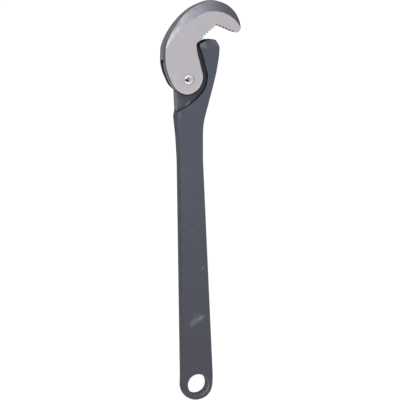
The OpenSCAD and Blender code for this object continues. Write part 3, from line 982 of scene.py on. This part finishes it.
sleeve = copied_from("pivot_sleeve")
flange_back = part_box("pivot_sleeve")[0].z
flange_rim = [e for e in corner_edges(sleeve, 50) if is_level(e, abs(flange_back))
              and not near_pivot(middle_of(e), 5 * mm)]
rounded(sleeve, flange_rim, 0.4 * mm, 3)
driver_slot = bmesh.new()
slot_turn = Matrix.Rotation(math.radians(28), 4, "Z")
slot_size = Matrix.Diagonal((20 * mm, 1.4 * mm, 2 * mm, 1))
bmesh.ops.create_cube(driver_slot, size=1, matrix=Matrix.Translation((pivot.x, pivot.y, flange_back))
                      @ slot_turn @ slot_size)
sleeve = cut_away(sleeve, driver_slot, 1)
sleeve_finishes = [blued_finish(), scale_and_shade_finish("slot_cut", (0.03, 0.03, 0.035), (0.2, 0.2, 0.22), 0.4)]
sleeve_piece = finished_piece("flanged_sleeve", sleeve, "hook", sleeve_finishes, 30, "pivot_sleeve")


# ---- The spring.
# Round wire coiled about the sleeve, between the cheeks. One leg hooks into the back cheek and the other into
# the tang, so that it swings the jaw shut.

def spring_wire():
    """Wire wound by rule: a straight leg, the coil, and the other leg."""
    tree = bpy.data.node_groups.new("wound_wire", "GeometryNodeTree")
    for name, default in (("Coil Radius", 6.5 * mm), ("Wire Radius", 0.5 * mm), ("Coil Start", -2.4 * mm),
                          ("Coil Height", 3.4125 * mm), ("Back Leg Tip", -3.7 * mm),
                          ("Front Leg Tip", 2.5125 * mm), ("Turns", 3.25)):
        socket = tree.interface.new_socket(name, in_out="INPUT", socket_type="NodeSocketFloat")
        socket.default_value = default
    socket = tree.interface.new_socket("Steps", in_out="INPUT", socket_type="NodeSocketInt")
    socket.default_value = 117
    socket = tree.interface.new_socket("Wire", in_out="INPUT", socket_type="NodeSocketMaterial")
    tree.interface.new_socket("Geometry", in_out="OUTPUT", socket_type="NodeSocketGeometry")
    sizes = tree.nodes.new("NodeGroupInput").outputs
    steps = sizes["Steps"]
    last = operated(tree, "ADD", steps, 2)
    count = operated(tree, "ADD", steps, 3)
    line = added(tree, "GeometryNodeMeshLine", {"Count": count, "Offset": (0, 0, 0.01)})
    path = added(tree, "GeometryNodeMeshToCurve", {"Mesh": line.outputs["Mesh"]})
    number = added(tree, "GeometryNodeInputIndex").outputs[0]
    step = operated(tree, "MAXIMUM", operated(tree, "SUBTRACT", number, 1), 0)
    wound = operated(tree, "DIVIDE", operated(tree, "MINIMUM", step, steps), steps)
    angle = times(tree, wound, sizes["Turns"], -2 * math.pi)
    coil_height = operated(tree, "ADD", sizes["Coil Start"], times(tree, wound, sizes["Coil Height"]))
    is_first = operated(tree, "LESS_THAN", number, 0.5)
    is_last = operated(tree, "GREATER_THAN", number, operated(tree, "SUBTRACT", last, 0.5))
    to_back_tip = operated(tree, "SUBTRACT", sizes["Back Leg Tip"], coil_height)
    to_front_tip = operated(tree, "SUBTRACT", sizes["Front Leg Tip"], coil_height)
    leg = operated(tree, "ADD", times(tree, is_first, to_back_tip), times(tree, is_last, to_front_tip))
    height = operated(tree, "ADD", coil_height, leg)
    across = [operated(tree, "ADD", times(tree, operated(tree, kind, angle), sizes["Coil Radius"]), middle)
              for kind, middle in (("COSINE", pivot.x), ("SINE", pivot.y))]
    spot = added(tree, "ShaderNodeCombineXYZ", {"X": across[0], "Y": across[1], "Z": height})
    laid = added(tree, "GeometryNodeSetPosition", {"Geometry": path.outputs[0], "Position": spot.outputs[0]})
    section = added(tree, "GeometryNodeCurvePrimitiveCircle",
                    {"Resolution": 12, "Radius": sizes["Wire Radius"]})
    tube = added(tree, "GeometryNodeCurveToMesh",
                 {"Curve": laid.outputs[0], "Profile Curve": section.outputs["Curve"], "Fill Caps": True})
    real = added(tree, "GeometryNodeRealizeInstances", {0: tube.outputs[0]})
    painted = added(tree, "GeometryNodeSetMaterial", {"Geometry": real.outputs[0], "Material": sizes["Wire"]})
    added(tree, "NodeGroupOutput", {"Geometry": painted.outputs[0]})
    return tree


def wire_finish():
    """Drawn spring wire: grey and faintly streaked."""
    drawn = (0.36, 0.36, 0.38)
    drawn_dark = (0.26, 0.26, 0.28)
    made, tree, shader = new_finish("drawn_wire", drawn, 1, 0.34)
    tree.links.new(mixed(tree, ramped(tree, noise(tree, 0.6 * mm, 4, 0.6), 0.4, 0.65), drawn, drawn_dark),
                   shader.inputs["Base Color"])
    tree.links.new(ramped(tree, noise(tree, 0.4 * mm, 3), 0.3, 0.7, 0.28, 0.44), shader.inputs["Roughness"])
    return made


wire_material = wire_finish()
winder = bpy.data.objects.new("winder", bpy.data.meshes.new("winder"))
scene.collection.objects.link(winder)
wound = winder.modifiers.new("wound", "NODES")
wound.node_group = spring_wire()
inputs = {item.name: item.identifier for item in wound.node_group.interface.items_tree
          if item.in_out == "INPUT"}
wound[inputs["Wire"]] = wire_material
wound[inputs["Turns"]] = 3.25
spring_mesh = bpy.data.meshes.new_from_object(winder.evaluated_get(bpy.context.evaluated_depsgraph_get()))
spring = bmesh.new()
spring.from_mesh(spring_mesh)
bpy.data.objects.remove(winder)
bpy.data.meshes.remove(spring_mesh)
spring_piece = finished_piece("coiled_spring", spring, "handle", [wire_material], 40, "jaw_spring")
